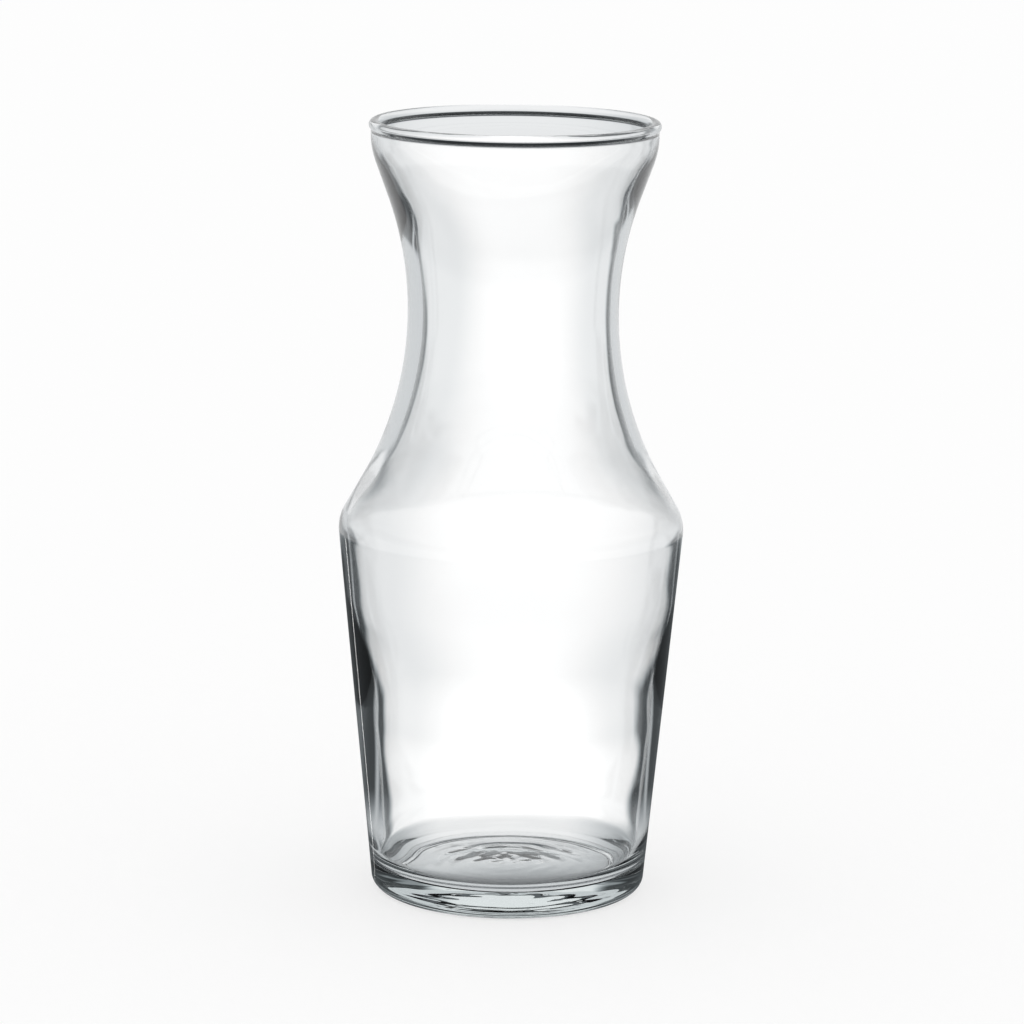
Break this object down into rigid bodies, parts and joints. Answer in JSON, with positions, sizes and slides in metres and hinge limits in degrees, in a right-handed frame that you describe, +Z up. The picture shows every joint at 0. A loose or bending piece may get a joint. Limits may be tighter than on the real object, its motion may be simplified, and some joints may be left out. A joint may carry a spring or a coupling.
{
  "type": "wine decanter",
  "caption": "Clear glass table decanter with a flared open mouth, a waisted neck, a sloping shoulder, tapered sides and a thick foot.",
  "frame": {"origin": "centre of the foot, on the surface that the decanter stands on", "axes": "+Z up along the axis of the glass; the glass is a body of revolution, so X and Y are level and alike"},
  "size_m": [0.109, 0.109, 0.246],
  "materials": {
    "clear_glass": "clear pressed and blown soda-lime glass with a fire-polished surface and a faint grey-green tint in its thick places"
  },
  "bodies": {
    "root": {"glass_body": "clear_glass"}
  },
  "joints": []
}
